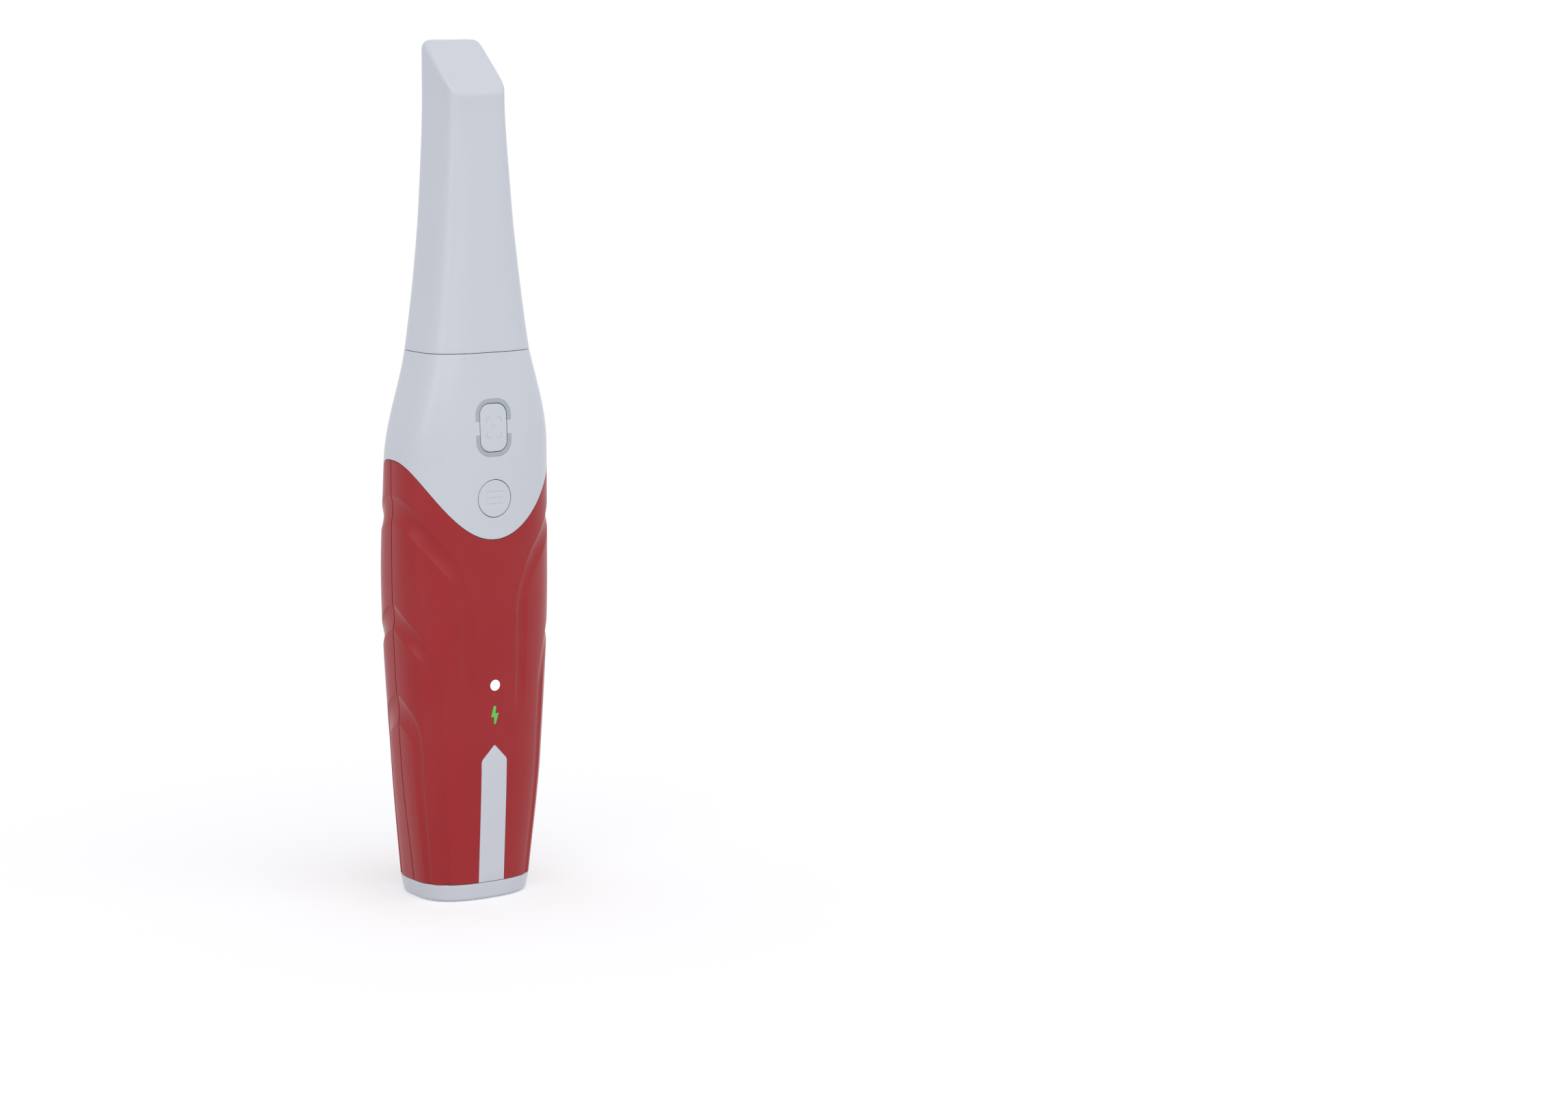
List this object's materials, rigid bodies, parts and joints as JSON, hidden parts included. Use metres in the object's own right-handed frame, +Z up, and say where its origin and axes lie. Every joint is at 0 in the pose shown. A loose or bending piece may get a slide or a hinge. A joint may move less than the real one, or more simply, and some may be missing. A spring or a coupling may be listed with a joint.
{
  "type": "intraoral scanner",
  "caption": "Cordless handheld dental scanner: scalloped grip, tapered nose with two buttons, pull-off hollow tip with slanted mirror head, slide-out battery in the base.",
  "frame": {"origin": "centre of the bottom face of the base cap, which the scanner stands on", "axes": "+Z up along the body towards the tip, -Y the front with the buttons, +X to the right seen from the front"},
  "size_m": [0.047, 0.0326, 0.24],
  "materials": {
    "grey_plastic": "smooth light grey moulding, soft gloss",
    "red_plastic": "satin red moulding",
    "band_plastic": "satin mid grey light band",
    "white_light": "white light guide",
    "green_light": "green light guide",
    "black_plastic": "fine matt black moulding",
    "optical_glass": "coated glass",
    "front_mirror": "front-coated mirror",
    "steel": "plain steel",
    "aluminium": "bead-blasted aluminium",
    "gold": "gold-plated contact",
    "circuit_board": "green solder mask",
    "seal_rubber": "matt black rubber",
    "cell_wrap": "blue shrink sleeve"
  },
  "bodies": {
    "battery_pack": {"base_cap": "grey_plastic", "battery_case": "black_plastic", "battery_cell": "cell_wrap", "battery_lid": "black_plastic", "battery_contact_1": "gold", "battery_contact_2": "gold", "battery_contact_3": "gold", "case_screw_left": "steel", "case_screw_right": "steel"},
    "handle": {"front_shell": "red_plastic", "rear_shell": "red_plastic", "nose_housing": "grey_plastic", "strip_inlay": "grey_plastic", "status_light": "white_light", "charge_light": "green_light", "light_board": "circuit_board", "upper_band": "band_plastic", "lower_band": "band_plastic", "button_board": "circuit_board", "scan_switch": "steel", "mode_switch": "steel", "optical_frame": "aluminium", "lens_tube": "black_plastic", "front_lens": "optical_glass", "rear_lens": "optical_glass", "beam_prism": "optical_glass", "projector_module": "black_plastic", "camera_sensor": "black_plastic", "camera_board": "circuit_board", "main_board": "circuit_board", "heat_sink": "aluminium", "antenna_board": "circuit_board", "contact_block": "black_plastic", "spring_pin_1": "gold", "spring_pin_2": "gold", "spring_pin_3": "gold", "barrel": "black_plastic", "barrel_window": "optical_glass", "barrel_seal": "seal_rubber"},
    "tip": {"tip_sleeve": "grey_plastic", "tip_mirror": "front_mirror"},
    "scan_button": {"scan_button": "grey_plastic"},
    "mode_button": {"mode_button": "grey_plastic"}
  },
  "joints": [
    {"name": "handle_lift", "type": "slide", "parent": "battery_pack", "child": "handle", "axis": [0, 0, 1], "range_m": [0, 0.085]},
    {"name": "tip_pull", "type": "slide", "parent": "handle", "child": "tip", "axis": [0, 0, 1], "range_m": [0, 0.065]},
    {"name": "scan_press", "type": "slide", "parent": "handle", "child": "scan_button", "axis": [0, 1, 0], "range_m": [0, 0.0005], "stiffness_N_per_m": 3000},
    {"name": "mode_press", "type": "slide", "parent": "handle", "child": "mode_button", "axis": [0, 1, 0], "range_m": [0, 0.0005], "stiffness_N_per_m": 3000}
  ]
}
